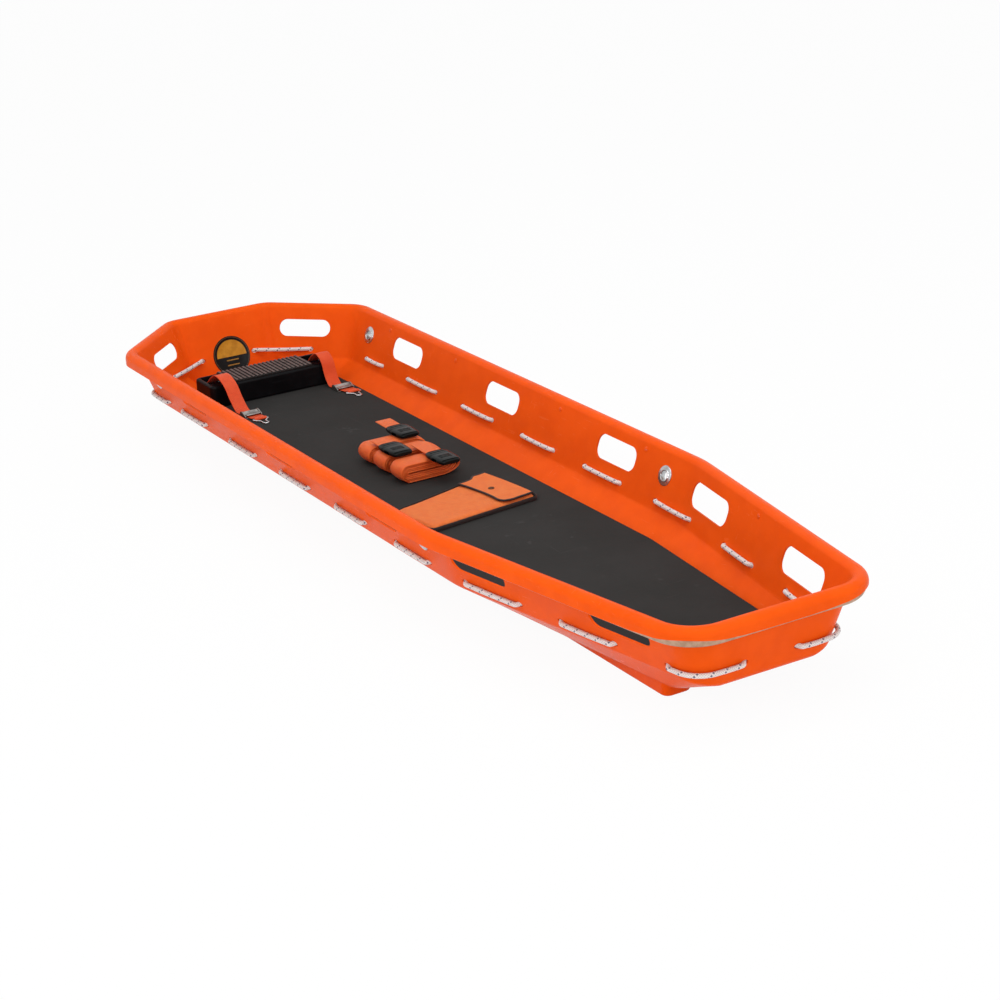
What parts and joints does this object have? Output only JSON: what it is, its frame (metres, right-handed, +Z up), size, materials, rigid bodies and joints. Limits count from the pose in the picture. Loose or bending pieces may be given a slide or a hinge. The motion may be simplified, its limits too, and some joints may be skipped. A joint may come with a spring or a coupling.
{
  "type": "basket stretcher",
  "caption": "Basket stretcher: moulded shell with rolled rim, hand holes, laced rope, lifting eyelets, mattress, sliding footrest, rolled patient straps and snap pouch.",
  "frame": {"origin": "centre of the bounding box's base, on the plane that the runners stand on", "axes": "+X towards the tapered head end, +Y across to the side that is far in the picture, +Z up"},
  "size_m": [2.2106, 0.62, 0.1899],
  "materials": {
    "shell": "bright orange moulded polyethylene, semi-gloss with fine scuffs",
    "rim_tube": "mill-finish alloy tube",
    "rivet": "aluminium blind rivet heads",
    "rope": "white braided rope with blue flecks",
    "eyelet": "stainless flanged eyelets and their washers",
    "label": "round amber and black sticker without lettering",
    "mattress": "dark grey closed-cell foam mattress with a matt skin",
    "footrest": "black moulded plastic",
    "tread": "ribbed black rubber",
    "footrest_webbing": "orange-red polyester webbing",
    "fitting": "plated steel",
    "patient_webbing": "orange polyester webbing",
    "clip": "black acetal",
    "pouch": "orange coated nylon with dark binding",
    "snap": "bronzed snap fastener"
  },
  "bodies": {
    "shell": {"shell": "shell", "rim_tube": "rim_tube", "perimeter_rope": "rope", "label_disc": "label", "tube_rivet_1": "rivet", "tube_rivet_2": "rivet", "tube_rivet_3": "rivet", "tube_rivet_4": "rivet", "tube_rivet_5": "rivet", "tube_rivet_6": "rivet", "tube_rivet_7": "rivet", "tube_rivet_8": "rivet", "tube_rivet_9": "rivet", "tube_rivet_10": "rivet", "lifting_eyelet_foot_right": "eyelet", "lifting_eyelet_foot_left": "eyelet", "lifting_eyelet_head_right": "eyelet", "lifting_eyelet_head_left": "eyelet", "eyelet_washer_foot_right": "eyelet", "eyelet_washer_foot_left": "eyelet", "eyelet_washer_head_right": "eyelet", "eyelet_washer_head_left": "eyelet"},
    "mattress": {"mattress": "mattress"},
    "footrest": {"footrest_body": "footrest", "footrest_tread": "tread", "strap_anchor_left": "fitting", "strap_anchor_right": "fitting", "footrest_strap_left": "footrest_webbing", "footrest_strap_right": "footrest_webbing", "cam_buckle_left": "fitting", "cam_buckle_right": "fitting", "cam_pin_left": "fitting", "cam_pin_right": "fitting"},
    "cam_lever_left": {"cam_lever_left": "fitting"},
    "cam_lever_right": {"cam_lever_right": "fitting"},
    "hook_left": {"strap_hook_left": "fitting"},
    "hook_right": {"strap_hook_right": "fitting"},
    "strap_set": {"patient_strap_1": "patient_webbing", "patient_strap_2": "patient_webbing", "patient_strap_3": "patient_webbing", "clip_tongue_1": "clip", "clip_tongue_2": "clip", "clip_tongue_3": "clip", "strap_tail_1": "patient_webbing", "strap_tail_2": "patient_webbing", "strap_tail_3": "patient_webbing"},
    "clip_1": {"clip_socket_1": "clip"},
    "clip_2": {"clip_socket_2": "clip"},
    "clip_3": {"clip_socket_3": "clip"},
    "pouch": {"pouch_body": "pouch", "snap_socket": "snap"},
    "flap": {"pouch_flap": "pouch", "snap_stud": "snap"}
  },
  "joints": [
    {"name": "mattress_lift", "type": "slide", "parent": "shell", "child": "mattress", "axis": [0, 0, 1], "range_m": [0, 0.25]},
    {"name": "footrest_slide", "type": "slide", "parent": "mattress", "child": "footrest", "axis": [1, 0, 0], "range_m": [0, 0.25]},
    {"name": "cam_lever_left_turn", "type": "hinge", "parent": "footrest", "child": "cam_lever_left", "pos_m": [-0.7075, -0.1077, 0.0631], "axis": [0, -1, 0], "range_deg": [0, 70], "stiffness_Nm_per_rad": 0.02, "springref_deg": -17.19},
    {"name": "cam_lever_right_turn", "type": "hinge", "parent": "footrest", "child": "cam_lever_right", "pos_m": [-0.7495, 0.1455, 0.0631], "axis": [0, -1, 0], "range_deg": [0, 70], "stiffness_Nm_per_rad": 0.02, "springref_deg": -17.19},
    {"name": "hook_left_swing", "type": "hinge", "parent": "footrest", "child": "hook_left", "pos_m": [-0.6654, -0.1026, 0.0571], "axis": [0, -1, 0], "range_deg": [0, 60]},
    {"name": "hook_right_swing", "type": "hinge", "parent": "footrest", "child": "hook_right", "pos_m": [-0.7074, 0.1523, 0.0571], "axis": [0, -1, 0], "range_deg": [0, 60]},
    {"name": "strap_set_lift", "type": "slide", "parent": "mattress", "child": "strap_set", "axis": [0, 0, 1], "range_m": [0, 0.25]},
    {"name": "clip_1_pull", "type": "slide", "parent": "strap_set", "child": "clip_1", "axis": [1, 0, 0], "range_m": [0, 0.04]},
    {"name": "clip_2_pull", "type": "slide", "parent": "strap_set", "child": "clip_2", "axis": [1, 0, 0], "range_m": [0, 0.04]},
    {"name": "clip_3_pull", "type": "slide", "parent": "strap_set", "child": "clip_3", "axis": [1, 0, 0], "range_m": [0, 0.04]},
    {"name": "pouch_lift", "type": "slide", "parent": "mattress", "child": "pouch", "axis": [0, 0, 1], "range_m": [0, 0.25]},
    {"name": "flap_turn", "type": "hinge", "parent": "pouch", "child": "flap", "pos_m": [0.06023, 0.10864, 0.0707], "axis": [-0.982, -0.1891, 0], "range_deg": [0, 165]}
  ]
}
